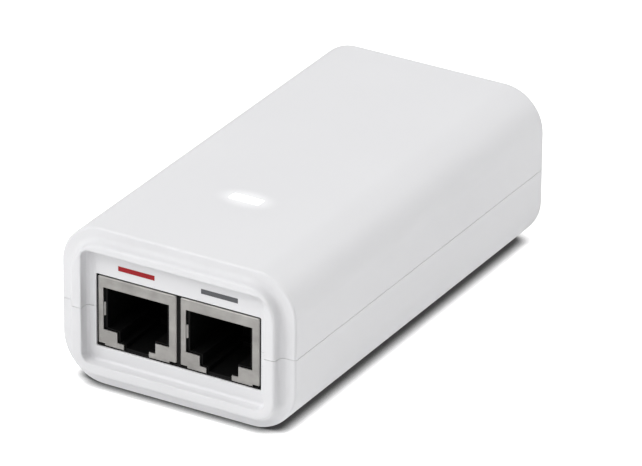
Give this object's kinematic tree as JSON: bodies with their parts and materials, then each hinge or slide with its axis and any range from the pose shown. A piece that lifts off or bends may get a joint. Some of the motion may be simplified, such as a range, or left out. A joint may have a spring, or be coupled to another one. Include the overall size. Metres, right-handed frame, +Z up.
{
  "type": "poe injector",
  "caption": "Mains-powered PoE injector in a rounded white case, with side-by-side shielded network jacks in a raised front collar, a top light bar and a rear mains inlet.",
  "frame": {"origin": "middle of the underside, at the centre of the bounding box in plan", "axes": "+Z up; +Y from the network jacks at the front to the mains inlet at the back, along the length; +X to the right as seen from the jacks"},
  "size_m": [0.0462, 0.0886, 0.0295],
  "materials": {
    "case_plastic": "satin white moulded ABS",
    "light_plastic": "clear-white diffusing plastic, glowing white when on",
    "shield_metal": "satin nickel-plated sheet metal",
    "black_plastic": "satin black moulded plastic",
    "contact_gold": "gold-plated spring wire",
    "pin_metal": "nickel-plated brass",
    "board_laminate": "green solder mask",
    "capacitor_sleeve": "dark blue shrink sleeve",
    "ferrite": "dull dark grey ferrite",
    "copper_winding": "enamelled copper",
    "winding_tape": "yellow polyester tape",
    "film_capacitor": "yellow moulded box",
    "disc_coating": "blue epoxy coating",
    "package_resin": "matt black resin",
    "heatsink_metal": "plain rolled aluminium",
    "label_film": "blank satin silver-grey film"
  },
  "bodies": {
    "root": {"upper_shell": "case_plastic", "lower_shell": "case_plastic", "rating_label": "label_film", "led_light_pipe": "light_plastic", "indicator_led": "light_plastic", "main_circuit_board": "board_laminate", "poe_jack_shield": "shield_metal", "poe_jack_housing": "black_plastic", "poe_jack_contacts": "contact_gold", "lan_jack_shield": "shield_metal", "lan_jack_housing": "black_plastic", "lan_jack_contacts": "contact_gold", "mains_inlet_body": "black_plastic", "inlet_line_pin": "pin_metal", "inlet_neutral_pin": "pin_metal", "inlet_earth_pin": "pin_metal", "mains_fuse": "package_resin", "surge_varistor": "disc_coating", "suppression_capacitor": "film_capacitor", "line_choke_core": "ferrite", "line_choke_winding_1": "copper_winding", "line_choke_winding_2": "copper_winding", "bridge_rectifier": "package_resin", "bulk_capacitor_1": "capacitor_sleeve", "bulk_capacitor_2": "capacitor_sleeve", "transformer_core_front": "ferrite", "transformer_core_back": "ferrite", "transformer_bobbin": "black_plastic", "transformer_winding": "winding_tape", "primary_heatsink": "heatsink_metal", "power_mosfet": "package_resin", "switching_controller": "package_resin", "optocoupler": "package_resin", "safety_capacitor": "disc_coating", "output_rectifier": "package_resin", "output_inductor": "ferrite", "output_capacitor_1": "capacitor_sleeve", "output_capacitor_2": "capacitor_sleeve"}
  },
  "joints": []
}
